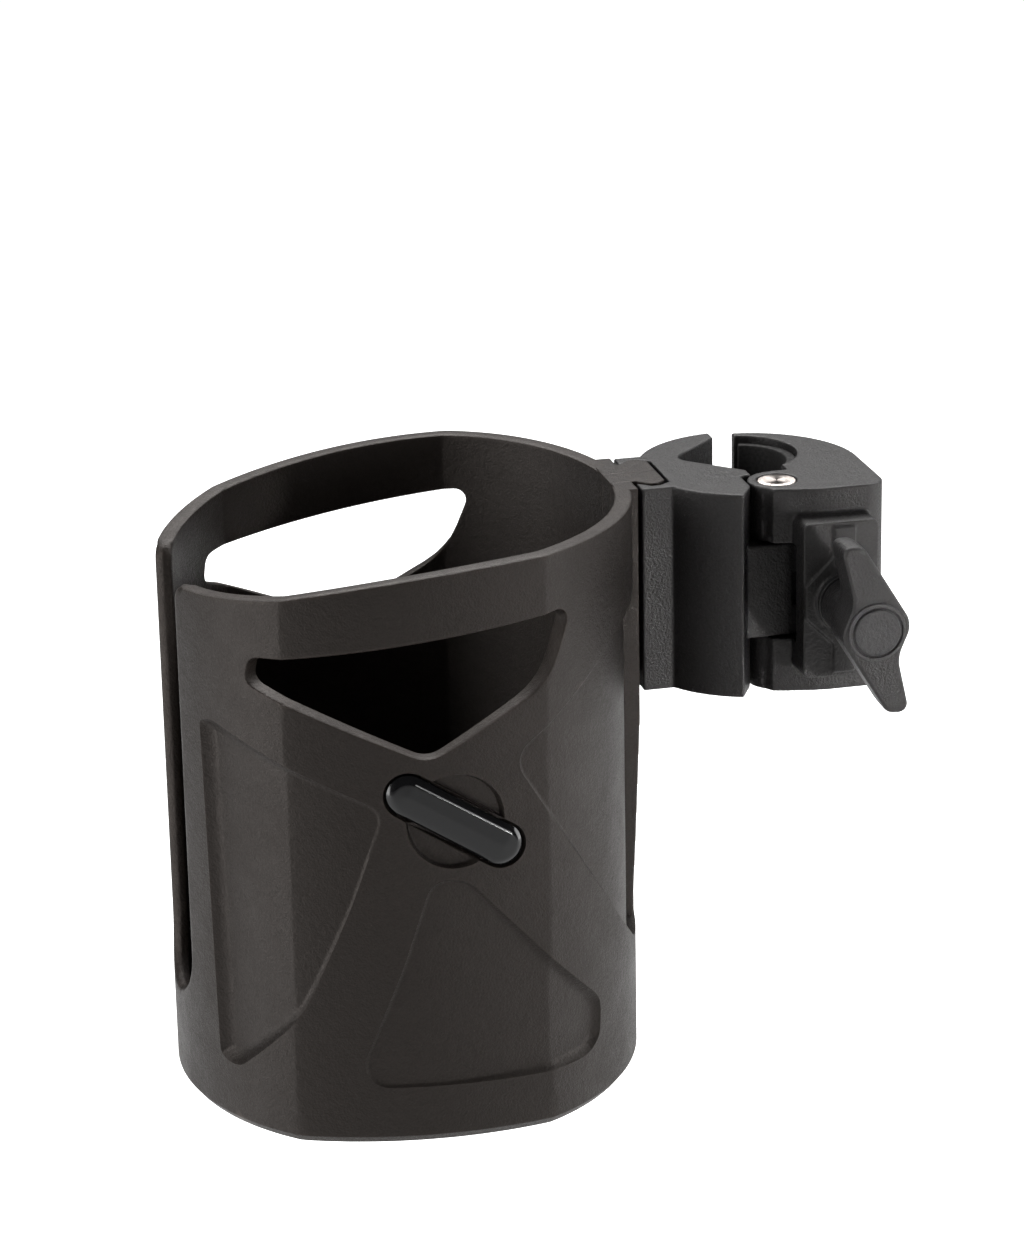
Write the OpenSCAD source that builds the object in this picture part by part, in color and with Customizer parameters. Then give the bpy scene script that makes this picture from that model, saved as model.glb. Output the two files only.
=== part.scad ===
// Clamp-on cup holder: an open cup with a handle slot hangs by a dovetail on a
// two-jaw tube clamp that a wing knob closes.
// Origin: tube axis at the clamp's mid height. +X from the cup to the clamp, +Z up.

/* [Tube and clamp] */
// Diameter of the tube that the clamp grips
tube_d = 20; // [18:1:22]
// Height of both jaws
jaw_h = 44; // [40:1:50]
// Radius of the clamp's round outside
jaw_r = 23.2; // [22.5:0.1:24]
// Thickness of the rubber pad in the moving jaw
pad_t = 2.2; // [1.5:0.1:2.5]
// Height of the middle knuckle of the fixed jaw
knuckle_h = 20; // [18:1:22]

/* [Knob] */
// Length of the wing knob from tip to tip
wing_l = 36; // [32:1:40]
// Thickness of the wings along the screw
wing_t = 11.6; // [9:0.1:13]
// Diameter of the screw
screw_d = 6; // [5:1:6]

/* [Cup] */
// Height of the cup at its clamp side
cup_h = 123.5; // [110:1:130]
// Wall of the cup
wall = 3.5; // [3:0.1:4]
// Thickness of the floor
floor_t = 3.5; // [3:0.1:5]
// Width of the slot for a mug's handle
slot_w = 23; // [20:1:30]
// Depth of the shallow panels in the wall
panel_d = 1; // [0.6:0.1:1.4]

/* [Hidden] */
$fn = 96;

black = "#232323";
grey = "#38342f";
steel = "#b9babb";

// clamp
grip_r = tube_d / 2 + 0.1;      // V flanks and pad stand this far from the tube's axis
half = jaw_h / 2;
mid_y = -8;                     // middle of the dovetail and of the jaws' outside
cup_mid = -10.5;                // middle of the cup
pin = [2.1, -20.7];             // hinge pin's axis
nut = [11.8, -20.7];            // barrel nut's axis, and the screw's x
pin_r = 2.5;
knuckle_r = 6.1;
gap = 0.35;                     // play between pieces that move past each other
arm_r = 5.8;                    // round end of the arm that holds the nut
stud_r = screw_d / 2;
run = 0.06;                     // play of a shaft in its hole
split_l = -2;                   // right end of the fixed jaw
split_r = 2.6;                  // left end of the moving jaw
plate_y = -36;                  // front of the plate under the knob
plate_w = 16;
plate_h = 33.2;
boss_y = plate_y - 1.4;         // round seat of the washer
washer_t = 1.2;
knob_y = boss_y - 0.3 - washer_t; // knob's end at the washer
knob_face = -58;

// dovetail: [x, half width]
neck_x = -27;
dove = [[neck_x - 2, 6.4], [-26.3, 6.4], [-23.6, 9], [-22, 9], [-19.6, 7.2]];
dove_floor = -20;               // the tongue stands on the socket's floor

// cup outline: two arcs at the ends, two flatter arcs along the sides
cup_x2 = -27.9;                 // outside at the clamp
cup_x1 = -125.8;                // outside at the handle slot
end2 = [-78.14, 50.24];           // [centre x, radius] of the clamp-side arc
end1 = [-74.2, 51.6];           // of the slot-side arc
side = [-72.5, 41, 87.6];       // [centre x, centre beyond the middle, radius] of a side
edge2 = -55.8;                  // crease between side and clamp-side arc
edge1 = -108.2;                 // crease between side and slot-side arc
rim_z = 22.4;                   // crest of the rim
cup_z = rim_z - cup_h;          // underside
rim_r = 357;                    // the rim falls towards the slot along this arc
rim_x = -40;                    // where the crest is
slot_z = cup_z + 21.1;          // slot's lowest point

// panels and windows in the wall: corners [x, z, corner radius]
window_pts = [[-114.2, -2.6, 2.2], [-113.2, 2.8, 2], [-49.8, 10.3, 2.2], [-55.3, -4.3, 17], [-80.3, -18.2, 6]];
handle_panel = [[-121.6, -11.8, 1.8], [-89.2, -28.2, 3.8], [-96.4, -49, 60], [-105.5, -71, 40],
                [-120.6, -91.6, 2]];
lower_panel = [[-80.4, -43.4, 4.5], [-73.2, -43.8, 7], [-43.4, -77.5, 7], [-43.8, -88.8, 5],
               [-97, -88.2, 5], [-86.5, -62, 60]];
clamp_panel = [[-24, 3.6, 1], [-38, -0.6, 30], [-63.6, -19, 5], [-31.4, -73, 2], [-24, -73, 1]];
badge_at = [-75.2, -31.2];
badge_r = 10;
pill_l = 31;                    // length of the badge
pill_r = 4.3;
pill_tilt = 33;

// one rounded corner of an outline
function corner(a, b, c, r, n = 7) =
    let(u = [a.x - b.x, a.y - b.y] / norm([a.x - b.x, a.y - b.y]),
        v = [c.x - b.x, c.y - b.y] / norm([c.x - b.x, c.y - b.y]),
        h = acos(u * v) / 2,
        o = [b.x, b.y] + (u + v) / norm(u + v) * r / sin(h),
        p = [b.x, b.y] + u * r / tan(h) - o,
        q = [b.x, b.y] + v * r / tan(h) - o,
        s = atan2(p.y, p.x),
        d = atan2(p.x * q.y - p.y * q.x, p * q))
    [for (i = [0:n]) o + r * [cos(s + d * i / n), sin(s + d * i / n)]];

// outline with every corner rounded by its own radius
function rounded(p) =
    [for (i = [0:len(p) - 1]) each corner(p[(i + len(p) - 1) % len(p)], p[i], p[(i + 1) % len(p)], p[i][2])];

// outline in X and Z, extruded from y0 to y1
module along_y(y0, y1) {
    translate([0, y1, 0]) rotate([90, 0, 0]) linear_extrude(height = y1 - y0) children();
}

// round bar along Y
module rod(x, z, r, y0, y1) {
    translate([x, y1, z]) rotate([90, 0, 0]) cylinder(r = r, h = y1 - y0);
}

// upright round bar
module post(at, r, z0, z1) {
    translate([at.x, at.y, z0]) cylinder(r = r, h = z1 - z0);
}

module box(x0, x1, y0, y1, z0, z1) {
    translate([x0, y0, z0]) cube([x1 - x0, y1 - y0, z1 - z0]);
}

// solid of the cup's outline, "in" millimetres inside the outer face
module cup_block(in, z0, z1) {
    intersection() {
        union() {
            post([end2[0], cup_mid], end2[1] - in, z0, z1);
            box(-200, edge2, cup_mid - 100, cup_mid + 100, z0, z1);
        }
        union() {
            post([end1[0], cup_mid], end1[1] - in, z0, z1);
            box(edge1, 50, cup_mid - 100, cup_mid + 100, z0, z1);
        }
        post([side[0], cup_mid + side[1]], side[2] - in, z0, z1);
        post([side[0], cup_mid - side[1]], side[2] - in, z0, z1);
    }
}

module dovetail(play, z0, z1) {
    translate([0, mid_y, z0]) linear_extrude(height = z1 - z0)
        polygon(concat([for (p = dove) [p.x + (p == dove[4] ? play : 0), p.y + play]],
                       [for (i = [4:-1:0]) [dove[i].x + (i == 4 ? play : 0), -dove[i].y - play]]));
}

module pill(r, l) {
    for (s = [-1, 1]) translate([s * (l / 2 - r), 0]) circle(r = r);
    square([l - 2 * r, 2 * r], center = true);
}

module cup_body() {
    color(grey) difference() {
        union() {
            difference() {
                intersection() {
                    difference() {
                        union() {
                            cup_block(0, cup_z + 1.6, 40);
                            cup_block(1, cup_z, cup_z + 1.6);
                        }
                        cup_block(wall, cup_z + floor_t, 50);
                    }
                    rod(rim_x, rim_z - rim_r, rim_r, cup_mid - 80, cup_mid + 80);
                }
                // shallow panels, front and back
                for (s = [0, 1]) translate([0, cup_mid, 0]) mirror([0, s, 0]) translate([0, -cup_mid, 0])
                    intersection() {
                        difference() {
                            box(-130, -20, -70, cup_mid - 6, cup_z, 20);
                            cup_block(panel_d, cup_z - 1, 30);
                        }
                        along_y(-80, cup_mid) {
                            polygon(rounded(handle_panel));
                            polygon(rounded(lower_panel));
                            polygon(rounded(clamp_panel));
                        }
                    }
            }
            // rail that carries the tongue and runs out down the wall
            along_y(mid_y - 11.4, mid_y + 11.4)
                polygon([[-31.8, half], [neck_x - 0.1, half], [neck_x - 0.1, -half - 6],
                         [-29, -72], [-31.8, -72]]);
            dovetail(0, dove_floor, half);
        }
        // slot for the handle
        box(-140, -95, cup_mid - slot_w / 2, cup_mid + slot_w / 2, slot_z + slot_w / 2, 60);
        translate([-140, cup_mid, slot_z + slot_w / 2]) rotate([0, 90, 0]) cylinder(r = slot_w / 2, h = 45);
        // windows through the front and the back
        along_y(cup_mid - 70, cup_mid + 70) polygon(rounded(window_pts));
        // seat of the badge
        intersection() {
            difference() {
                box(-90, -60, -70, cup_mid - 30, -50, -15);
                cup_block(panel_d, cup_z - 1, 30);
            }
            along_y(-80, cup_mid) translate(badge_at) {
                circle(r = badge_r);
                rotate(-pill_tilt) pill(pill_r + 0.2, pill_l + 0.4);
            }
        }
    }
}

module badge() {
    color("#101010") intersection() {
        difference() {
            box(-95, -55, -70, cup_mid - 30, -55, -10);
            cup_block(panel_d, cup_z - 1, 30);
        }
        cup_block(-0.9, cup_z, 30);
        along_y(-80, cup_mid) translate(badge_at) rotate(-pill_tilt) pill(pill_r, pill_l);
    }
}

module fixed_jaw() {
    color(black) difference() {
        union() {
            difference() {
                intersection() {
                    post([0, mid_y + 0.7], jaw_r, -half, half);
                    box(-30, split_l, -40, 30, -half, half);
                }
                // nose beside the hinge, cut back so that the plate can swing past it
                translate([0, 0, -30]) linear_extrude(height = 60) polygon(rounded([
                    [-4.4, -16, 1], [-4.4, -23.5, 2], [-8.4, -31, 1], [8, -31, 1], [8, -16, 1]]));
            }
            box(neck_x + 0.7, -17, mid_y - 11.4, mid_y + 11.4, -half, half);
            // middle knuckle and the arm that reaches behind the plate
            post(pin, knuckle_r, -knuckle_h / 2, knuckle_h / 2);
            box(-9, pin.x, pin.y - knuckle_r, pin.y + knuckle_r, -knuckle_h / 2, knuckle_h / 2);
            box(pin.x, nut.x, nut.y - arm_r, nut.y + arm_r, -knuckle_h / 2, knuckle_h / 2);
            post(nut, arm_r, -knuckle_h / 2, knuckle_h / 2);
        }
        // V for the tube, rounded at its bottom
        translate([0, 0, -30]) linear_extrude(height = 60)
            polygon([[-grip_r * sqrt(2) + 2.33, 2.33], [2, grip_r * sqrt(2) + 2],
                     [2, -grip_r * sqrt(2) - 2], [-grip_r * sqrt(2) + 2.33, -2.33]]);
        post([-grip_r * sqrt(2) + 4.66, 0], 3.3, -30, 30);
        // dovetail socket, closed at its foot
        dovetail(0.2, dove_floor, 30);
        // room for the moving jaw's two knuckles
        for (s = [-1, 1])
            post(pin, knuckle_r + gap, s > 0 ? knuckle_h / 2 : -30, s > 0 ? 30 : -knuckle_h / 2);
        post(pin, pin_r, -30, 30);
        post(nut, 4.06, -30, 30);
        // fan-shaped slot that lets the screw swing with the nut
        translate([nut.x, nut.y, -3.6]) linear_extrude(height = 7.2) for (a = [-34, -17, 4]) rotate(a)
            square([2 * stud_r + 0.9, 22], center = true);
    }
}

module hinge_pin() {
    color(steel) {
        post(pin, pin_r, -half, half - 1);
        post(pin, 4.1, half - 1.2, half);
    }
}

module moving_jaw() {
    color(black) difference() {
        union() {
            intersection() {
                union() {
                    post([0.3, mid_y - 0.5], jaw_r - 0.4, -half, half);
                    box(pin.x, 19, -29.6, -8, -half, half);
                    box(pin.x, 23.1, -25.5, -8, -half, half);
                    post([19, -25.5], 4.1, -half, half);
                }
                translate([0, 0, -half]) linear_extrude(height = jaw_h)
                    polygon([[split_r, 20], [split_r, -28.1], [8, -29.3], [11.5, -29.6], [30, -29.6], [30, 20]]);
            }
            post(pin, knuckle_r, -half, half);
            translate([0, 0, -half]) linear_extrude(height = jaw_h)
                polygon([[-1.6, -25.6], [-0.6, -27.2], [pin.x, -28], [8, -29.3], [8, -20], [pin.x, -20]]);
            // plate under the knob
            along_y(plate_y, -26) translate([11.2, 0]) polygon(rounded([
                [-plate_w / 2, -plate_h / 2, 1.4], [plate_w / 2, -plate_h / 2, 1.4],
                [plate_w / 2, plate_h / 2, 1.4], [-plate_w / 2, plate_h / 2, 1.4]]));
            along_y(plate_y - 0.7, plate_y + 1) intersection() {
                translate([nut.x, 0]) union() {
                    rotate(45) square(16.4, center = true);
                    square([4.5, plate_h - 2], center = true);
                }
                translate([11.2, 0]) square([plate_w - 0.6, plate_h - 0.6], center = true);
            }
            rod(nut.x, 0, 6.3, boss_y, plate_y + 1);
        }
        post([0, 0], grip_r + pad_t, -30, 30);
        // clears the fixed jaw between the tube and the pin
        box(-10, 6.2, -14.4, -8, -30, 30);
        // room for the middle knuckle and for the arm's swing
        post(pin, knuckle_r + gap, -knuckle_h / 2 - gap, knuckle_h / 2 + gap);
        intersection() {
            post(pin, nut.x - pin.x + arm_r + 0.8, -knuckle_h / 2 - gap, knuckle_h / 2 + gap);
            box(-20, 40, -27.7, 10, -30, 30);
        }
        box(-10, 5, -30.5, -14, -knuckle_h / 2 - gap, knuckle_h / 2 + gap);
        post(pin, pin_r + run, -30, 30);
        post(pin, 4.1 + run, half - 1.2, 30);
        rod(nut.x, 0, 4.3, -50, -20);
    }
}

module jaw_pad() {
    color("#161616") intersection() {
        difference() {
            post([0, 0], grip_r + pad_t, -half + 1.5, half - 1.5);
            post([0, 0], grip_r, -30, 30);
        }
        translate([0, 0, -30]) linear_extrude(height = 60)
            polygon([[0, 0], [30 * cos(-46), 30 * sin(-46)], [40, 0], [30, 40],
                     [30 * cos(74), 30 * sin(74)]]);
    }
}

module barrel_nut() {
    color(steel) difference() {
        post(nut, 4, -8, 8);
        rod(nut.x, 0, stud_r + run, -30, -10);
    }
}

module screw_stud() {
    color(steel) rod(nut.x, 0, stud_r, knob_face + 6, -15.6);
}

module thrust_washer() {
    color("#2b2b2b") difference() {
        rod(nut.x, 0, 6.2, knob_y, knob_y + washer_t);
        rod(nut.x, 0, stud_r + run, -50, -30);
    }
}

module wing_knob() {
    t = wing_l / 36;
    wing = [[-7.4, 18.2, 1.8], [-2.6, 17.8, 2.2], [7.6, 1, 5], [4.6, -6, 7],
            [7.4, -18.2, 1.8], [2.6, -17.8, 2.2], [-7.6, -1, 5], [-4.6, 6, 7]];
    color(black) difference() {
        union() {
            rod(nut.x, 0, 5.9, knob_face + 1, knob_y);
            rod(nut.x, 0, 6.1, knob_face, knob_face + wing_t);
            along_y(knob_face + 0.4, knob_face + wing_t) translate([nut.x, 0])
                polygon(rounded([for (p = wing) [p.x, p.y * t, p[2]]]));
        }
        rod(nut.x, 0, 5.3, knob_face - 1, knob_face + 0.5);
        rod(nut.x, 0, 5, knob_face - 1, knob_face + 2);
        rod(nut.x, 0, stud_r, knob_face + 6, -30);
    }
}

module knob_cap() {
    color("#1c1c1c") rod(nut.x, 0, 5, knob_face - 0.2, knob_face + 2);
}

cup_body();
badge();
fixed_jaw();
hinge_pin();
moving_jaw();
jaw_pad();
barrel_nut();
screw_stud();
thrust_washer();
wing_knob();
knob_cap();
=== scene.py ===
import math

import bmesh
import bpy
import numpy as np
from mathutils import Matrix, Vector
from mathutils.geometry import delaunay_2d_cdt


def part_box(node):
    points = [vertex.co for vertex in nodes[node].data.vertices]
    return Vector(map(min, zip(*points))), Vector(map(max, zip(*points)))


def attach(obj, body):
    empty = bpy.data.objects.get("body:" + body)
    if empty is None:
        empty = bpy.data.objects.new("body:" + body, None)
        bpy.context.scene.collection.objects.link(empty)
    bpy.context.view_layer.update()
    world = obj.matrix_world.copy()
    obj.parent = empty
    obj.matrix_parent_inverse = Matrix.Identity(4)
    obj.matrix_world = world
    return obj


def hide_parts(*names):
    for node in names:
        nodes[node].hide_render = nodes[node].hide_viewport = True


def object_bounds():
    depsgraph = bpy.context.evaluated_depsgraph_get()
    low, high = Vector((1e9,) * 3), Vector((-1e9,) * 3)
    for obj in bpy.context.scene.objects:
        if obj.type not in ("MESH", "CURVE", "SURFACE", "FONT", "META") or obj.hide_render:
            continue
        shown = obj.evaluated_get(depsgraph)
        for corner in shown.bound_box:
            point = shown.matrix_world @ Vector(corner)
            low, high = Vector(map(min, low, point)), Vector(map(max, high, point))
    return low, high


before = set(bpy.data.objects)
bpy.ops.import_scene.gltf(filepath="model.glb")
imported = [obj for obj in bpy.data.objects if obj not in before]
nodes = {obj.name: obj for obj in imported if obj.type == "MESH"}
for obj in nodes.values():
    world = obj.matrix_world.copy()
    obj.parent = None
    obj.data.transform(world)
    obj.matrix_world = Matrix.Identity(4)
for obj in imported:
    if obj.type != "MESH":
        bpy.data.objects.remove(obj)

cad_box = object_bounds()
MM = 0.001


# ---------------------------------------------------------------- camera and light
def look(azimuth, elevation, roll):
    """Camera rotation that looks along azimuth (0 is +Y) and down by elevation, in degrees."""
    a, e, r = (math.radians(v) for v in (azimuth, elevation, roll))
    forward = Vector((math.sin(a) * math.cos(e), math.cos(a) * math.cos(e), -math.sin(e)))
    right = Vector((math.cos(a), -math.sin(a), 0))
    down = forward.cross(right)
    rolled_right = math.cos(r) * right + math.sin(r) * down
    rolled_down = math.cos(r) * down - math.sin(r) * right
    return Matrix((rolled_right, -rolled_down, -forward)).transposed()


camera_at = (-0.2337, -0.7845, 0.2695)
camera = bpy.data.objects.new("camera", bpy.data.cameras.new("camera"))
camera.data.lens = 115.7
camera.matrix_world = Matrix.Translation(camera_at) @ look(13.2, 19.3, 1.13).to_4x4()
bpy.context.collection.objects.link(camera)
bpy.context.scene.camera = camera


def area_light(name, at, aim, size, power, spread=180):
    """Soft box at a point, aimed at another; a spread below 180 degrees narrows its beam."""
    data = bpy.data.lights.new(name, "AREA")
    data.shape = "RECTANGLE"
    data.size, data.size_y = size
    data.energy = power
    data.spread = math.radians(spread)
    obj = bpy.data.objects.new(name, data)
    turn = (Vector(aim) - Vector(at)).to_track_quat("-Z", "Y")
    obj.matrix_world = Matrix.Translation(at) @ turn.to_matrix().to_4x4()
    bpy.context.collection.objects.link(obj)


middle = (-0.055, -0.01, -0.03)
area_light("left_box", (-0.85, -0.15, 0.12), middle, (0.35, 1.0), 6.8)
area_light("right_box", (0.70, -0.15, 0.12), middle, (0.35, 1.0), 5.4)
area_light("top_box", (0.1, 0.6, 0.75), middle, (1.1, 0.5), 11.5)
area_light("front_fill", (0.50, -1.0, -0.02), (0, 0, 0), (0.3, 0.35), 1.7)
area_light("clamp_fill", (0.42, -1.0, -0.07), (0.03, -0.03, -0.01), (0.06, 0.06), 0.03, 14)

# white behind the object for the camera, but dim as a light, so that the soft boxes shape it
world = bpy.data.worlds.new("studio")
bpy.context.scene.world = world
world.use_nodes = True
tree = world.node_tree
path = tree.nodes.new("ShaderNodeLightPath")
level = tree.nodes.new("ShaderNodeMapRange")
level.inputs["To Min"].default_value = 0.05
level.inputs["To Max"].default_value = 1.02
tree.links.new(path.outputs["Is Camera Ray"], level.inputs["Value"])
tree.nodes["Background"].inputs["Color"].default_value = (1, 1, 1, 1)
tree.links.new(level.outputs["Result"], tree.nodes["Background"].inputs["Strength"])
bpy.context.scene.view_settings.view_transform = "Standard"

# ---------------------------------------------------------------- outlines
def rounded(points, steps=6):
    """Closed outline from corners (a, b, radius): straight between them, an arc at each."""
    out = []
    for i, (a, b, r) in enumerate(points):
        p = np.array((a, b), float)
        before = np.array(points[i - 1][:2], float) - p
        after = np.array(points[(i + 1) % len(points)][:2], float) - p
        before /= np.linalg.norm(before)
        after /= np.linalg.norm(after)
        half = math.acos(np.clip(before @ after, -1, 1)) / 2
        centre = p + (before + after) / np.linalg.norm(before + after) * r / math.sin(half)
        start = p + before * r / math.tan(half) - centre
        end = p + after * r / math.tan(half) - centre
        turn = math.atan2(start[0] * end[1] - start[1] * end[0], start @ end)
        first = math.atan2(start[1], start[0])
        n = max(2, int(abs(turn) * steps))
        for k in range(n + 1):
            angle = first + turn * k / n
            out.append(centre + r * np.array((math.cos(angle), math.sin(angle))))
    return np.array(out)


def resample(line, step, closed=True):
    """The same outline with points about step apart; its corners stay where they are close to."""
    pts = np.vstack([line, line[:1]]) if closed else np.asarray(line)
    length = np.concatenate([[0], np.cumsum(np.hypot(*np.diff(pts, axis=0).T))])
    n = max(4, int(round(length[-1] / step)))
    at = np.linspace(0, length[-1], n + 1)
    out = np.c_[np.interp(at, length, pts[:, 0]), np.interp(at, length, pts[:, 1])]
    return out[:-1] if closed else out


def distance(p, line, closed=True):
    """Distance from each point to an outline."""
    a = np.asarray(line)
    b = np.roll(a, -1, 0) if closed else a[1:]
    a = a if closed else a[:-1]
    d = b - a
    best = np.full(len(p), 1e9)
    for i in range(0, len(p), 2000):
        q = p[i:i + 2000, None] - a[None]
        t = np.clip((q * d).sum(2) / ((d * d).sum(1) + 1e-12), 0, 1)
        best[i:i + 2000] = np.sqrt(((q - t[..., None] * d) ** 2).sum(2)).min(1)
    return best


def inside(p, line):
    """True for each point within a closed outline."""
    a = np.asarray(line)
    b = np.roll(a, -1, 0)
    out = np.zeros(len(p), bool)
    for (x0, y0), (x1, y1) in zip(a, b):
        if y0 != y1:
            level = (p[:, 1] < y0) != (p[:, 1] < y1)
            out ^= level & (p[:, 0] < (x1 - x0) * (p[:, 1] - y0) / (y1 - y0) + x0)
    return out


def offset(line, by, closed=True):
    """Points at distance by to the left of an outline; by may be one number or one per point."""
    a = np.asarray(line)
    along = (np.roll(a, -1, 0) - np.roll(a, 1, 0)) if closed else np.gradient(a, axis=0)
    along = along / (np.hypot(*along.T)[:, None] + 1e-12)
    return a + np.c_[-along[:, 1], along[:, 0]] * np.reshape(by, (-1, 1))


# ---------------------------------------------------------------- cup
# The wall is one sheet in (s, z): s runs round the outside from the middle of the handle slot to the
# middle of the clamp side, and the back half mirrors the front. Millimetres until the mesh is made.
cup_lo, cup_hi = (np.array(v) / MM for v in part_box("cup_body"))
mid_y = cup_lo[1] + 46.6                   # the cup's middle; the dovetail's is a little behind it
base_z = cup_lo[2]
rim = (-40, cup_hi[2], 357)                # crest's x and z, and the radius that the rim falls along
wall = 3.5
floor_t = 3.5
ends = ((-78.14, 50.24), (-74.2, 51.6))    # clamp-side and slot-side arcs: centre x, radius
flank = (-72.5, 41, 87.6)                  # side arc: centre x, how far beyond the middle, radius
crease = 0.1                               # softness of the upright edges between the arcs
core = -76                                 # the outline is measured round this x
creases = (-55.8, -108.2)                  # x of those upright edges
slot_w = 23
slot_z = base_z + 21.1                     # the slot's lowest point
sheet_z = base_z + 6.2                     # below this the wall turns into the floor

# corners seen from the front: x, z, radius
window = [(-114.2, -2.6, 2.2), (-113.2, 2.8, 2), (-49.8, 10.3, 2.2), (-55.3, -4.3, 17), (-80.3, -18.2, 6)]
handle_panel = [(-121.6, -11.8, 1.8), (-89.2, -28.2, 3.8), (-96.4, -49, 60), (-105.5, -71, 40),
                (-120.6, -91.6, 2)]
lower_panel = [(-80.4, -43.4, 4.5), (-73.2, -43.8, 7), (-43.4, -77.5, 7), (-43.8, -88.8, 5),
               (-97, -88.2, 5), (-86.5, -62, 60)]
clamp_panel = [(-28.4, 3.4, 1), (-38, -0.6, 30), (-63.6, -19, 5), (-31.4, -73, 2), (-28.4, -73, 1)]
badge_at = (-75.2, -31.2)
badge_r = 10                               # round seat
pill_r = 4.3                               # the insert's half width and rounded ends
pill_l = 31
pill_tilt = math.radians(33)
seat_depth = 1.35


def reach(theta, inset):
    """Distance from the core to the wall, inset millimetres inside the outside face."""
    c, s = np.cos(theta), np.sin(theta)

    def to_circle(dx, dy, r):
        along = c * dx + s * dy
        return along + np.sqrt(r * r - dx * dx - dy * dy + along * along)

    end = np.where(c > 0, *(to_circle(x - core, 0, r - inset) for x, r in ends))
    side = to_circle(flank[0] - core, np.where(s < 0, flank[1], -flank[1]), flank[2] - inset)
    h = np.maximum(crease - np.abs(end - side), 0) / crease
    return np.minimum(end, side) - h * h * crease / 4


theta_t = np.linspace(math.pi, 2 * math.pi, 4001)
outline_t = core + reach(theta_t, 0) * np.cos(theta_t), reach(theta_t, 0) * np.sin(theta_t)
s_t = np.concatenate([[0], np.cumsum(np.hypot(np.diff(outline_t[0]), np.diff(outline_t[1])))])
s_end = s_t[-1]


def place(s, inset, z, back=False):
    """Point of the wall in the row frame, in metres."""
    theta = np.interp(s, s_t, theta_t)
    r = reach(theta, inset)
    y = r * np.sin(theta)
    return np.c_[core + r * np.cos(theta), mid_y + (-y if back else y), z] * MM


def on_wall(xz):
    """(x, z) seen from the front, as (s, z)."""
    xz = np.asarray(xz, float)
    return np.c_[np.interp(xz[:, 0], outline_t[0], s_t), xz[:, 1]]


def rim_at(s):
    """Height of the rim."""
    x = np.interp(s, s_t, outline_t[0])
    return rim[1] - rim[2] + np.sqrt(rim[2] ** 2 - (x - rim[0]) ** 2)


def ramp(v, a, b):
    """Smooth step from 0 at a to 1 at b."""
    t = np.clip((v - a) / (b - a), 0, 1)
    return t * t * (3 - 2 * t)


# free edge: slot, its rounded corner and the rim
y_of_s = -outline_t[1]
slot_s = float(np.interp(slot_w / 2, y_of_s[:2000], s_t[:2000]))
arc = np.radians(np.linspace(0, 90, 30))
slot_line = np.c_[np.interp(slot_w / 2 * np.sin(arc), y_of_s[:2000], s_t[:2000]),
                  slot_z + slot_w / 2 * (1 - np.cos(arc))]
corner_s = np.linspace(slot_s + 0.5, s_end, 160)
top = np.vstack([slot_line, [[slot_s, rim_at(slot_s) - 5]]])
corner_r = 3.6
turn = rounded([(slot_s, rim_at(slot_s) - 5, 0.01), (slot_s, float(rim_at(slot_s)), corner_r),
                (slot_s + 6, float(rim_at(slot_s + 6)), 0.01)], 8)
turn = turn[(turn[:, 1] > rim_at(slot_s) - 4.9) & (turn[:, 0] < slot_s + 5.9)]
rim_line = np.c_[corner_s, rim_at(corner_s)][corner_s > slot_s + 6]
free = resample(np.vstack([top, turn, rim_line]), 0.9, closed=False)
slot_part = free[free[:, 0] < slot_s + 4]
rim_part = free[free[:, 0] >= slot_s + 3]
window_line = resample(on_wall(resample(rounded(window), 0.8)), 0.8)


# Each panel is deeper and its fillet wider towards one side: depth and width at (s, z).
def handle_depth(s, z):
    return 0.35 + 1.75 * np.maximum(1 - ramp(s, 22, 62), ramp(-z, 60, 88) * 0.9)


def handle_width(s, z):
    return 0.8 + 2.6 * (1 - ramp(s, 22, 60))


def lower_depth(s, z):
    return 0.45 + 1.05 * ramp(s, 66, 108)


def lower_width(s, z):
    return 0.7 + 1.5 * ramp(s, 70, 110)


def clamp_depth(s, z):
    return 0.35 + 1.75 * ramp(s, s_end - 40, s_end - 10)


def clamp_width(s, z):
    return 0.7 + 0.5 * ramp(s, s_end - 40, s_end - 10)


def seat_width(s, z):
    return 0.55 + 0 * s


panels = [(resample(on_wall(resample(rounded(line), 1)), 1), depth, width) for line, depth, width in (
    (handle_panel, handle_depth, handle_width),
    (lower_panel, lower_depth, lower_width),
    (clamp_panel, clamp_depth, clamp_width))]

# radii that round the free edges
slot_r = 1.5
rim_round = 0.55
window_round = 0.5


def edge_round(t, r):
    """How far a rounded edge of radius r stands back at distance t from the edge."""
    return r - np.sqrt(np.maximum(r * r - np.square(r - np.minimum(t, r)), 0))


def fields(p, front):
    """How far the outer and inner faces stand back from the plain wall at each (s, z)."""
    edge = np.max([edge_round(distance(p, slot_part, False), slot_r),
                   edge_round(distance(p, rim_part, False), rim_round),
                   edge_round(distance(p, window_line), window_round)], axis=0)
    sunk = np.zeros(len(p))
    for line, depth, width in panels:
        u = np.where(inside(p, line), distance(p, line), 0)
        w = width(p[:, 0], p[:, 1])
        sunk = np.maximum(sunk, depth(p[:, 0], p[:, 1]) * np.sin(np.pi / 2 * np.clip(u / w, 0, 1)))
    if front:
        for line in (seat_line, pill_line):
            u = np.where(inside(p, line), distance(p, line), 0)
            sunk = np.maximum(sunk, seat_depth * np.sin(np.pi / 2 * np.clip(u / 0.55, 0, 1)))
    return np.maximum(edge, sunk), edge


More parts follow.
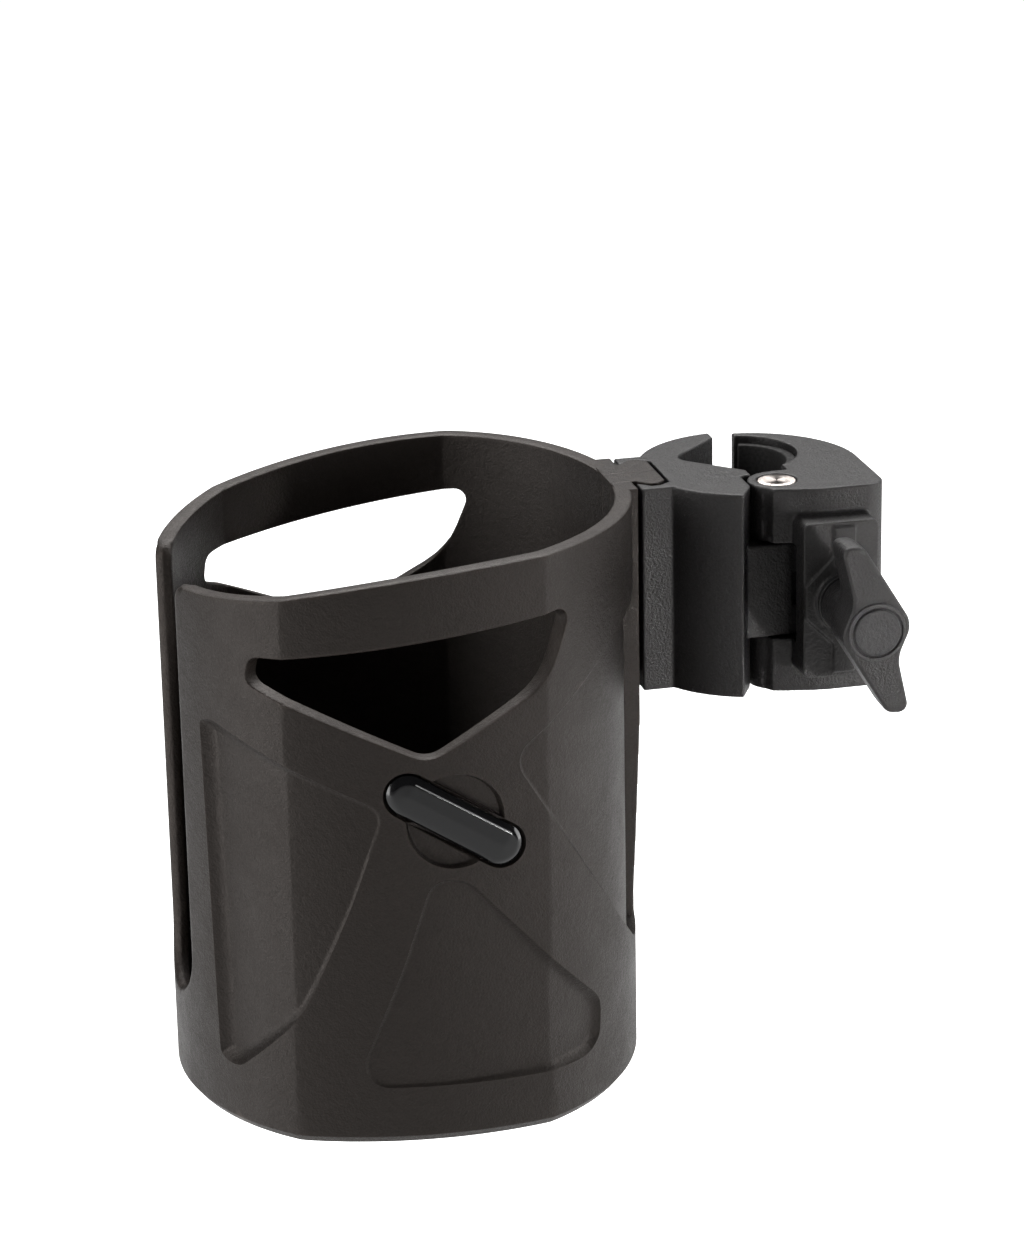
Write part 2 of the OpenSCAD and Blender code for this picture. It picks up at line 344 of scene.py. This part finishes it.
def pill(length, r, n=20):
    """Tilted outline of the badge, in x and z."""
    a = np.linspace(-math.pi / 2, math.pi / 2, n)
    right = np.c_[length / 2 - r + r * np.cos(a), r * np.sin(a)]
    p = np.vstack([right, -right])
    c, s = math.cos(-pill_tilt), math.sin(-pill_tilt)
    return p @ np.array(((c, s), (-s, c))) + badge_at


turn_a = np.linspace(0, 2 * math.pi, 60, endpoint=False)
seat_line = on_wall(np.c_[badge_at[0] + badge_r * np.cos(turn_a),
                          badge_at[1] + badge_r * np.sin(turn_a)])
pill_line = on_wall(pill(pill_l + 1.3, pill_r + 0.65))


def signed_area(line):
    """Area of a closed outline, above 0 if it runs anticlockwise."""
    a, b = np.asarray(line), np.roll(line, -1, 0)
    return (a[:, 0] * b[:, 1] - a[:, 1] * b[:, 0]).sum() / 2


def clear_of(points, others, gap, outer):
    """The points on the sheet, outside the window, that lie further than gap from all the others."""
    near = np.full(len(points), 1e9)
    for i in range(0, len(points), 1000):
        near[i:i + 1000] = np.sqrt(((points[i:i + 1000, None] - others[None]) ** 2).sum(2)).min(1)
    return points[(near > gap) & inside(points, outer) & ~inside(points, window_line)]


def thinned(points, gap):
    """The points without those closer than gap to one already kept."""
    cell = 0.3
    around = [(dx, dz) for dx in (-1, 0, 1) for dz in (-1, 0, 1)]
    kept, cells = [], {}
    for p in points[np.argsort(points[:, 0])]:
        c = (int(p[0] // cell), int(p[1] // cell))
        close = [q for dx, dz in around for q in cells.get((c[0] + dx, c[1] + dz), ())]
        if all(np.hypot(*(p - q)) > gap for q in close):
            cells.setdefault(c, []).append(p)
            kept.append(p)
    return np.array(kept)


def wall_sheet():
    """Triangles of the half wall in (s, z): rings along every edge and fillet, and a plain grid between."""
    bottom = np.linspace(0, s_end, 92)
    outer = np.vstack([np.c_[bottom, np.full(92, sheet_z)],
                       np.c_[np.full(57, s_end), np.linspace(sheet_z, free[-1, 1], 58)[1:]],
                       free[::-1][1:],
                       np.c_[np.zeros(5), np.linspace(slot_z, sheet_z, 7)[1:-1]]])
    loops = [outer, window_line] + [p[0] for p in panels] + [seat_line, pill_line]
    points, edges = [], []
    for line in loops:
        start = len(points)
        points += list(map(tuple, line))
        n = len(line)
        edges += [(start + i, start + (i + 1) % n) for i in range(n)]
    rings = []
    rounded_edges = ((slot_part, slot_r, False), (rim_part, rim_round, False),
                     (window_line, window_round, True))
    for line, r, closed in rounded_edges:
        side = -1 if not closed or signed_area(line) > 0 else 1
        on_round = [r * (1 - math.cos(math.radians(a))) for a in (24, 44, 64, 90)]
        for t in on_round + [r + 0.7, r + 1.8]:
            ring = offset(line, side * t, closed)
            rings.append(ring[distance(ring, line, closed) > t * 0.97])
    sunk_areas = [(line, width) for line, _, width in panels]
    for line, width in sunk_areas + [(seat_line, seat_width), (pill_line, seat_width)]:
        side = 1 if signed_area(line) > 0 else -1
        w = width(line[:, 0], line[:, 1])
        for t in (0.12, 0.3, 0.5, 0.75, 1.0, 1.35):
            ring = offset(line, side * t * w)
            rings.append(ring[distance(ring, line) > (t * w).min() * 0.97])
        for t in (0.3, 1.1):
            ring = offset(line, -side * t)
            rings.append(ring[distance(ring, line) > t * 0.97])
    for x in creases:
        at = float(np.interp(x, outline_t[0], s_t))
        for ds in (-0.5, 0, 0.5):
            up = np.arange(sheet_z + 0.8, rim_at(at) - 1, 0.9)
            rings.append(np.c_[np.full(len(up), at + ds), up])
    rings = np.vstack(rings)
    step = 2.0
    grid = []
    for row, z in enumerate(np.arange(sheet_z + 1, rim[1], step * 0.87)):
        grid += [(s + (step / 2 if row % 2 else 0), z) for s in np.arange(1, s_end, step)]
    ring_gap, grid_gap = 0.16, 1.15        # closest that points may lie
    fixed = np.array(points)
    rings = thinned(clear_of(rings, fixed, ring_gap, outer), ring_gap)
    grid = clear_of(np.array(grid), np.vstack([fixed, rings]), grid_gap, outer)
    points += list(map(tuple, rings)) + list(map(tuple, grid))
    verts, _, faces, *_ = delaunay_2d_cdt([Vector(p) for p in points], edges, [], 0, 1e-5, False)
    verts = np.array([tuple(v) for v in verts])
    faces = np.array([f for f in faces if len(f) == 3])
    mid = verts[faces].mean(1)
    faces = faces[inside(mid, outer) & ~inside(mid, window_line)]
    a, b, c = (verts[faces[:, i]] for i in range(3))
    area = (b[:, 0] - a[:, 0]) * (c[:, 1] - a[:, 1]) - (b[:, 1] - a[:, 1]) * (c[:, 0] - a[:, 0])
    faces[area < 0] = faces[area < 0][:, ::-1]
    faces = faces[np.abs(area) > 1e-7]
    used = np.unique(faces)
    new = np.full(len(verts), -1)
    new[used] = np.arange(len(used))
    return verts[used], new[faces]


def make_cup():
    """Both halves of the wall with their inner faces and edges, the underside and the floor."""
    flat, tris = wall_sheet()
    verts, faces = [], []

    def add(points):
        start = sum(len(v) for v in verts)
        verts.append(points)
        return start

    edges = {}                             # in order, as a set isn't
    for t in tris:
        for i in range(3):
            edges[(int(t[i]), int(t[(i + 1) % 3]))] = True
    border = [e for e in edges if (e[1], e[0]) not in edges]
    low = np.where(np.abs(flat[:, 1] - sheet_z) < 1e-4)[0]
    low = low[np.argsort(flat[low, 0])]

    def seam(a, b, at):
        return abs(flat[a, 0] - at) < 1e-3 and abs(flat[b, 0] - at) < 1e-3

    # wall's foot and the bevel round the underside, then inside the fillet to the floor: inset, height
    under = [(0, 3.6), (0, 2.1), (0.05, 1.9), (0.18, 1.72), (1.2, 0.42), (1.42, 0.2), (1.7, 0.06), (2.1, 0),
             (7, 0), (7.3, 0.1), (7.6, 0.8), (8, 0.95)]
    fillet_r = 2.7
    fillet = [(wall + fillet_r * (1 - math.cos(f)), floor_t + fillet_r * (1 - math.sin(f)))
              for f in np.radians(np.linspace(0, 90, 8))[1:]]
    for back in (False, True):
        def flip(corners):
            return corners[::-1] if back else corners

        out_d, edge_d = fields(flat, not back)
        o = add(place(flat[:, 0], out_d, flat[:, 1], back))
        i = add(place(flat[:, 0], wall - edge_d, flat[:, 1], back))
        faces += [flip((o + a, o + b, o + c)) for a, b, c in tris]
        faces += [flip((i + c, i + b, i + a)) for a, b, c in tris]
        for a, b in border:
            if not (a in low and b in low) and not seam(a, b, 0) and not seam(a, b, s_end):
                faces.append(flip((o + b, o + a, i + a, i + b)))
        s = flat[low, 0]

        def strip(row, new, turned):
            for k in range(len(s) - 1):
                quad = (row[k], new[k], new[k + 1], row[k + 1])
                faces.append(flip(quad[::-1] if turned else quad))

        for first, profile, turned in ((o, under, False), (i, fillet, True)):
            row = [first + int(v) for v in low]
            for inset, z in profile:
                start = add(place(s, inset, np.full(len(s), base_z + z), back))
                new = range(start, start + len(s))
                strip(row, new, turned)
                row = new
            last_inset, last_z = profile[-1]
            shape = place(s, last_inset, np.full(len(s), base_z + last_z), back)
            centre = np.array((core, mid_y, base_z + last_z)) * MM
            for part in (0.75, 0.5, 0.25, 0.02):
                start = add(centre + (shape - centre) * part)
                new = range(start, start + len(s))
                strip(row, new, turned)
                row = new
    mesh = bpy.data.meshes.new("cup_shell")
    mesh.from_pydata(np.vstack(verts).tolist(), [], [tuple(int(v) for v in f) for f in faces])
    obj = bpy.data.objects.new("cup_shell", mesh)
    bpy.context.collection.objects.link(obj)
    bm = bmesh.new()
    bm.from_mesh(mesh)
    bmesh.ops.remove_doubles(bm, verts=bm.verts, dist=0.02 * MM)
    bmesh.ops.holes_fill(bm, edges=[e for e in bm.edges if e.is_boundary], sides=0)
    bmesh.ops.recalc_face_normals(bm, faces=bm.faces)
    bm.to_mesh(mesh)
    bm.free()
    return obj


def smooth(obj, angle=35):
    """Smooth shading, with edges sharp where they turn by more than angle."""
    for p in obj.data.polygons:
        p.use_smooth = True
    obj.data.set_sharp_from_angle(angle=math.radians(angle))
    m = obj.modifiers.new("normals", "WEIGHTED_NORMAL")
    m.keep_sharp = True
    m.weight = 80
    return obj


def new_object(name, verts, faces):
    """Mesh from points in millimetres."""
    mesh = bpy.data.meshes.new(name)
    mesh.from_pydata((np.asarray(verts, float) * MM).tolist(), [], [tuple(int(i) for i in f) for f in faces])
    obj = bpy.data.objects.new(name, mesh)
    bpy.context.collection.objects.link(obj)
    bm = bmesh.new()
    bm.from_mesh(mesh)
    bmesh.ops.remove_doubles(bm, verts=bm.verts, dist=0.001 * MM)
    bmesh.ops.recalc_face_normals(bm, faces=bm.faces)
    bm.to_mesh(mesh)
    bm.free()
    return obj


def loft(name, rings, closed_ends=True):
    """Skin over rings that have the same number of points."""
    n = len(rings[0])
    verts = np.vstack(rings)
    faces = [(k * n + i, k * n + (i + 1) % n, (k + 1) * n + (i + 1) % n, (k + 1) * n + i)
             for k in range(len(rings) - 1) for i in range(n)]
    if closed_ends:
        faces += [tuple(range(n)), tuple(range(len(verts) - n, len(verts)))]
    return new_object(name, verts, faces)


def prism(name, outline, z0, z1):
    """Upright prism from an outline in x and y."""
    outline = np.asarray(outline, float)
    return loft(name, [np.c_[outline, np.full(len(outline), z)] for z in (z0, z1)])


def prism_y(name, outline, y0, y1):
    """Prism along y from an outline in x and z."""
    outline = np.asarray(outline, float)
    return loft(name, [np.c_[outline[:, 0], np.full(len(outline), y), outline[:, 1]] for y in (y0, y1)])


def lathe(name, profile, centre, lying=False, n=96):
    """Turned piece: profile of (radius, height) about an upright axis, or about one along y."""
    a = np.linspace(0, 2 * math.pi, n, endpoint=False)
    rings = []
    for r, h in profile:
        r = max(r, 0.01)
        if lying:
            rings.append(np.c_[centre[0] + r * np.cos(a), np.full(n, h), centre[1] + r * np.sin(a)])
        else:
            rings.append(np.c_[centre[0] + r * np.cos(a), centre[1] + r * np.sin(a), np.full(n, h)])
    return loft(name, rings, closed_ends=profile[0][0] < 0.1 or profile[-1][0] < 0.1)


def from_cad(node, cell):
    """Softened copy of a CAD piece."""
    mesh = nodes[node].data.copy()
    obj = bpy.data.objects.new(node + "_look", mesh)
    obj.matrix_world = nodes[node].matrix_world.copy()
    bpy.context.collection.objects.link(obj)
    bm = bmesh.new()
    bm.from_mesh(mesh)
    bmesh.ops.remove_doubles(bm, verts=bm.verts, dist=0.003 * MM)
    bm.to_mesh(mesh)
    bm.free()
    return softened(obj, cell)


def softened(obj, cell):
    """Remesh in small cells so that every edge and corner comes out softly rounded."""
    m = obj.modifiers.new("cells", "REMESH")
    m.mode = "VOXEL"
    m.voxel_size = cell * MM
    m.use_smooth_shade = True
    m = obj.modifiers.new("soften", "SMOOTH")
    m.factor = 0.5
    m.iterations = 3
    m = obj.modifiers.new("thin", "DECIMATE")
    m.ratio = 0.35
    m = obj.modifiers.new("normals", "WEIGHTED_NORMAL")
    m.weight = 80
    return obj


dressed = []                               # every new piece with its material's name


def belongs(obj, body, slot, *replaced):
    """Put a piece on its body, in its slot and in place of CAD nodes."""
    dressed.append((obj, slot))
    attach(obj, body)
    for node in replaced:
        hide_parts(node)


belongs(smooth(make_cup()), "cup", "cup_plastic", "cup_body")

# ---------------------------------------------------------------- rail and dovetail tongue
clamp_mid = -8                             # middle of the dovetail and of the socket block
half = 22                                  # half the clamp's height
neck = -27
rail_top = half + 0.22
rail_face = neck - 0.1
rail_side = [(-31.6, rail_top), (rail_face, rail_top), (rail_face, -half - 6), (-28.2, -54), (-29.4, -78),
             (-31.6, -78)]
rail = prism_y("cup_rail", rail_side, clamp_mid - 11.4, clamp_mid + 11.4)
belongs(softened(rail, 0.28), "cup", "cup_plastic", "cup_body")
tongue_end = -20.3
# x and half width
tongue = [(-31.7, 6.2), (-26.2, 6.2), (-23.8, 8.6), (-22.3, 8.6), (tongue_end, 6.9)]
for side, name in ((-1, "tongue_front"), (1, "tongue_back")):
    outline = [(x, clamp_mid + side * y) for x, y in tongue]
    outline = [(tongue[0][0], clamp_mid)] + outline + [(tongue_end, clamp_mid)]
    belongs(softened(prism(name, outline, -19.9, half + 0.28), 0.2), "cup", "cup_plastic", "cup_body")

# ---------------------------------------------------------------- badge
def make_badge():
    """Glossy domed pill in its seat."""
    rings = []
    for t in [0] + list(np.linspace(0, pill_r - 0.12, 16)):
        flat = pill(pill_l - 2 * t, pill_r - t)
        sw = on_wall(flat)
        crown = 0.75 * math.sin(math.pi / 2 * min(t / 1.8, 1)) + 0.25 * t / pill_r
        dome = 0.25 - crown if rings else seat_depth
        rings.append(place(sw[:, 0], dome, sw[:, 1]) / MM)
    return loft("badge_pill", rings)


belongs(smooth(make_badge(), 40), "cup", "badge_gloss", "badge")

# ---------------------------------------------------------------- clamp
pin_at = (2.1, -20.7)
nut_at = (11.8, -20.7)
belongs(from_cad("fixed_jaw", 0.28), "clamp", "clamp_plastic", "fixed_jaw")
belongs(from_cad("moving_jaw", 0.28), "jaw", "clamp_plastic", "moving_jaw")
belongs(from_cad("jaw_pad", 0.3), "jaw", "pad_rubber", "jaw_pad")
belongs(from_cad("barrel_nut", 0.22), "nut", "screw_steel", "barrel_nut")
belongs(from_cad("thrust_washer", 0.16), "washer", "washer_plastic", "thrust_washer")
pin_profile = [(0, -half), (2.1, -half), (2.5, -half + 0.4), (2.5, half - 1.2), (4.0, half - 1.2),
               (4.05, half - 0.45), (3.95, half - 0.2), (3.7, half - 0.05), (3.2, half), (2.2, half - 0.08),
               (1, half - 0.14), (0, half - 0.16)]
pin = lathe("pin_headed", pin_profile, pin_at)
belongs(smooth(pin, 30), "clamp", "pin_steel", "hinge_pin")

# ---------------------------------------------------------------- knob
# all along y: the cap's face, the back of the wings, and the end of the hub
face = -58
wing_back = -46.4
knob_end = -38.9
wing = [(-7.4, 18.2, 1.8), (-2.6, 17.8, 2.2), (7.6, 1, 5), (4.6, -6, 7),
        (7.4, -18.2, 1.8), (2.6, -17.8, 2.2), (-7.6, -1, 5), (-4.6, 6, 7)]


def make_wings():
    """S-shaped wings: a soft-edged slab that thins a little towards the tips and the back."""
    line = resample(rounded(wing, 10), 0.45)
    if signed_area(line) < 0:
        line = line[::-1]
    rings = []
    steps = [(0.7, 0), (0.5, 0.03), (0.28, 0.12), (0.1, 0.3), (0.02, 0.5), (0, 0.75)]
    for inset, depth in steps:
        rings.append((inset, face + 0.4 + depth, True))
    for inset, y in ((0.0, -54), (0.02, -51), (0.15, -48.6), (0.4, -47.4), (0.75, -46.8), (1.3, wing_back)):
        rings.append((inset, y, False))
    out = []
    for inset, y, front in rings:
        p = offset(line, inset)
        far = np.clip(np.abs(p[:, 1]) / 18, 0, 1) ** 2
        out.append(np.c_[nut_at[0] + p[:, 0], y + (0.7 if front else -1.2) * far, p[:, 1]])
    return loft("knob_wings", out)


belongs(smooth(make_wings(), 50), "knob", "clamp_plastic", "wing_knob")
hub_profile = [(4.98, face + 2), (4.98, face + 0.55), (5.25, face + 0.55), (5.3, face + 0.2),
               (5.4, face + 0.05), (5.6, face), (6.0, face + 0.1), (6.1, face + 0.42), (5.9, face + 1.5),
               (5.9, knob_end - 0.5), (5.75, knob_end - 0.15), (5.4, knob_end), (3.05, knob_end),
               (3.05, face + 8)]
hub = lathe("knob_hub", hub_profile, (nut_at[0], 0), lying=True)
belongs(smooth(hub, 40), "knob", "clamp_plastic", "wing_knob")
cap_profile = [(0, face + 0.02), (3, face), (4.5, face - 0.05), (4.75, face + 0.02), (4.88, face + 0.2),
               (4.9, face + 0.5), (4.9, face + 2), (0, face + 2)]
cap = lathe("cap_plug", cap_profile, (nut_at[0], 0), lying=True)
belongs(smooth(cap, 40), "knob", "cap_plastic", "knob_cap")


def make_stud():
    """M6 screw: a helix with a 1 mm pitch."""
    n, steps = 40, 18
    y0, y1 = face + 7, -15.6
    a = np.linspace(0, 2 * math.pi, n, endpoint=False)
    rings = []
    for y in np.linspace(y0, y1, int((y1 - y0) * steps) + 1):
        phase = (y + a / (2 * math.pi)) % 1
        r = 2.98 - 0.55 * np.clip(1.25 - np.abs(phase - 0.5) * 2.9, 0, 1)
        r = np.minimum(r, 2.3 + min(y - y0, y1 - y) * 1.2)
        rings.append(np.c_[nut_at[0] + r * np.cos(a), np.full(n, y), r * np.sin(a)])
    return loft("stud_thread", rings)


belongs(smooth(make_stud(), 40), "knob", "screw_steel", "screw_stud")

# ---------------------------------------------------------------- materials
def material(name, colour, rough, metallic=0.0):
    """Principled material with object coordinates ready for its textures."""
    mat = bpy.data.materials.new(name)
    mat.use_nodes = True
    tree = mat.node_tree
    shader = tree.nodes["Principled BSDF"]
    shader.inputs["Base Color"].default_value = (*colour, 1)
    shader.inputs["Roughness"].default_value = rough
    shader.inputs["Metallic"].default_value = metallic
    return mat, tree, shader, tree.nodes.new("ShaderNodeTexCoord").outputs["Object"]


def noise(tree, coords, scale, detail=2, rough=0.5):
    """Noise texture's output from 0 to 1; scale is in features per metre."""
    n = tree.nodes.new("ShaderNodeTexNoise")
    tree.links.new(coords, n.inputs["Vector"])
    n.inputs["Scale"].default_value = scale
    n.inputs["Detail"].default_value = detail
    n.inputs["Roughness"].default_value = rough
    return n.outputs["Fac"]


def maths(tree, kind, a, b):
    """Math node on two sockets or numbers."""
    n = tree.nodes.new("ShaderNodeMath")
    n.operation = kind
    for socket, v in ((n.inputs[0], a), (n.inputs[1], b)):
        if isinstance(v, (int, float)):
            socket.default_value = v
        else:
            tree.links.new(v, socket)
    return n.outputs[0]


def remap(tree, value, a, b, c, d):
    """The value with a to b stretched to c to d."""
    n = tree.nodes.new("ShaderNodeMapRange")
    tree.links.new(value, n.inputs["Value"])
    for key, v in (("From Min", a), ("From Max", b), ("To Min", c), ("To Max", d)):
        n.inputs[key].default_value = v
    return n.outputs["Result"]


def tint(tree, shader, colour, factor):
    """Base colour scaled by a factor."""
    n = tree.nodes.new("ShaderNodeVectorMath")
    n.operation = "SCALE"
    n.inputs[0].default_value = colour
    tree.links.new(factor, n.inputs["Scale"])
    tree.links.new(n.outputs[0], shader.inputs["Base Color"])


def bump(tree, shader, height, strength, depth):
    """Surface relief from a height from 0 to 1, depth metres deep."""
    n = tree.nodes.new("ShaderNodeBump")
    n.inputs["Strength"].default_value = strength
    n.inputs["Distance"].default_value = depth
    tree.links.new(height, n.inputs["Height"])
    tree.links.new(n.outputs["Normal"], shader.inputs["Normal"])


def grained(name, colour, rough, grain, depth, edge_wear_and_highlight, gleam=(1, 0.97, 0.95), sharp=0.53, shine=0.5):
    """Moulded plastic: spark-eroded grain, faint flow marks, handling polish and a few dust specks.

    Edges that are sharper than sharp, from 0.5 for flat to 1, are lighter by up to edge_wear_and_highlight
    times: a painted highlight along convex edges, partly edge wear.
    """
    mat, tree, shader, at = material(name, colour, rough)
    fine = noise(tree, at, grain, 3, 0.62)
    coarse = noise(tree, at, grain / 3.1, 2, 0.5)
    flow = noise(tree, at, 34, 4, 0.55)
    marks = noise(tree, at, 160, 3, 0.7)
    height = maths(tree, "ADD", fine, maths(tree, "MULTIPLY", coarse, 0.8))
    bump(tree, shader, height, 1.0, depth)
    shader.inputs["Specular Tint"].default_value = (*gleam, 1)
    shader.inputs["Specular IOR Level"].default_value = shine
    specks = tree.nodes.new("ShaderNodeTexVoronoi")
    tree.links.new(at, specks.inputs["Vector"])
    specks.inputs["Scale"].default_value = 210
    dot = maths(tree, "LESS_THAN", specks.outputs["Distance"], 0.045)
    dust = maths(tree, "MULTIPLY", dot, maths(tree, "GREATER_THAN", flow, 0.53))
    streaks = remap(tree, flow, 0.3, 0.7, -0.09, 0.09)
    value = maths(tree, "ADD", remap(tree, fine, 0.3, 0.7, 0.72, 1.28), streaks)
    value = maths(tree, "ADD", value, maths(tree, "MULTIPLY", dust, 2.2))
    # painted highlight: convex edges get a lighter base colour in place of the light lines that rounded
    # edges catch from the soft boxes, partly edge wear as well
    corner = tree.nodes.new("ShaderNodeNewGeometry").outputs["Pointiness"]
    edge_highlight_and_wear_ramp = remap(tree, corner, sharp, sharp + 0.06, 0, edge_wear_and_highlight)
    painted_edge_highlight_and_wear = maths(tree, "MULTIPLY", edge_highlight_and_wear_ramp, remap(tree, marks, 0.3, 0.7, 0.35, 1.2))
    value = maths(tree, "ADD", value, painted_edge_highlight_and_wear)
    tint(tree, shader, colour, value)
    flow_rough = remap(tree, flow, 0.3, 0.7, rough - 0.05, rough + 0.05)
    polish = maths(tree, "ADD", flow_rough, remap(tree, marks, 0.35, 0.75, 0.03, -0.06))
    roughness = maths(tree, "ADD", polish, remap(tree, fine, 0.3, 0.7, 0.09, -0.09))
    tree.links.new(roughness, shader.inputs["Roughness"])
    return mat


def gloss(name, colour):
    """Polished black insert with hairline wiping marks."""
    mat, tree, shader, at = material(name, colour, 0.12)
    wipe = noise(tree, at, 420, 4, 0.75)
    tree.links.new(remap(tree, wipe, 0.35, 0.75, 0.07, 0.2), shader.inputs["Roughness"])
    bump(tree, shader, noise(tree, at, 90, 2), 0.12, 0.0004)
    tint(tree, shader, colour, remap(tree, wipe, 0.3, 0.7, 0.85, 1.2))
    return mat


def metal(name, colour, rough, rings_at=None):
    """Plated steel; a turned face gets concentric tool marks."""
    mat, tree, shader, at = material(name, colour, rough, 1.0)
    stain = noise(tree, at, 300, 4, 0.7)
    tree.links.new(remap(tree, stain, 0.3, 0.75, rough - 0.05, rough + 0.12), shader.inputs["Roughness"])
    tint(tree, shader, colour, remap(tree, stain, 0.3, 0.7, 0.85, 1.06))
    if rings_at:
        move = tree.nodes.new("ShaderNodeVectorMath")
        move.operation = "SUBTRACT"
        tree.links.new(at, move.inputs[0])
        move.inputs[1].default_value = (rings_at[0] * MM, rings_at[1] * MM, 0)
        wave = tree.nodes.new("ShaderNodeTexWave")
        wave.wave_type = "RINGS"
        wave.rings_direction = "Z"
        wave.inputs["Scale"].default_value = 900
        wave.inputs["Distortion"].default_value = 0.2
        tree.links.new(move.outputs[0], wave.inputs["Vector"])
        bump(tree, shader, wave.outputs["Fac"], 0.1, 0.000004)
        turned = tree.nodes.new("ShaderNodeTangent")
        turned.direction_type = "RADIAL"
        turned.axis = "Z"
        shader.inputs["Anisotropic"].default_value = 0.85
        tree.links.new(turned.outputs["Tangent"], shader.inputs["Tangent"])
    else:
        bump(tree, shader, stain, 0.2, 0.00003)
    return mat


looks = {
    "cup_plastic": grained("cup_plastic", (0.0070, 0.0053, 0.0044), 0.48, 2300, 0.00015, 3.5,
                           gleam=(1, 0.9, 0.84), sharp=0.512, shine=0.4),
    "clamp_plastic": grained("clamp_plastic", (0.0105, 0.0099, 0.0103), 0.46, 1900, 0.00018, 4, sharp=0.52),
    "cap_plastic": grained("cap_plastic", (0.021, 0.0206, 0.0216), 0.48, 1700, 0.0002, 0),
    "washer_plastic": grained("washer_plastic", (0.018, 0.018, 0.018), 0.4, 3000, 0.00004, 2),
    "pad_rubber": grained("pad_rubber", (0.010, 0.010, 0.010), 0.75, 1500, 0.00008, 0.5),
    "badge_gloss": gloss("badge_gloss", (0.004, 0.004, 0.0045)),
    "pin_steel": metal("pin_steel", (0.62, 0.56, 0.52), 0.27, pin_at),
    "screw_steel": metal("screw_steel", (0.55, 0.55, 0.56), 0.32),
}
slot_of = {"cup_body": "cup_plastic", "badge": "badge_gloss", "fixed_jaw": "clamp_plastic",
           "moving_jaw": "clamp_plastic", "wing_knob": "clamp_plastic", "knob_cap": "cap_plastic",
           "thrust_washer": "washer_plastic", "jaw_pad": "pad_rubber", "hinge_pin": "pin_steel",
           "barrel_nut": "screw_steel", "screw_stud": "screw_steel"}
for name, key in slot_of.items():
    nodes[name].data.materials.clear()
    nodes[name].data.materials.append(looks[key])
for obj, key in dressed:
    obj.data.materials.clear()
    obj.data.materials.append(looks[key])

# ---------------------------------------------------------------- floor
floor_drop = 0.12                          # the holder hangs above the floor
bpy.ops.mesh.primitive_plane_add(size=6, location=(0, 0, cad_box[0][2] - floor_drop))
floor = bpy.context.object
floor.name = "floor"
mat, tree, shader, at = material("floor", (0.9, 0.9, 0.9), 0.8)
shader.inputs["Emission Color"].default_value = (1, 1, 1, 1)
path = tree.nodes.new("ShaderNodeLightPath")
floor_glow = remap(tree, path.outputs["Is Camera Ray"], 0, 1, 0.12, 1)
tree.links.new(floor_glow, shader.inputs["Emission Strength"])
floor.data.materials.append(mat)
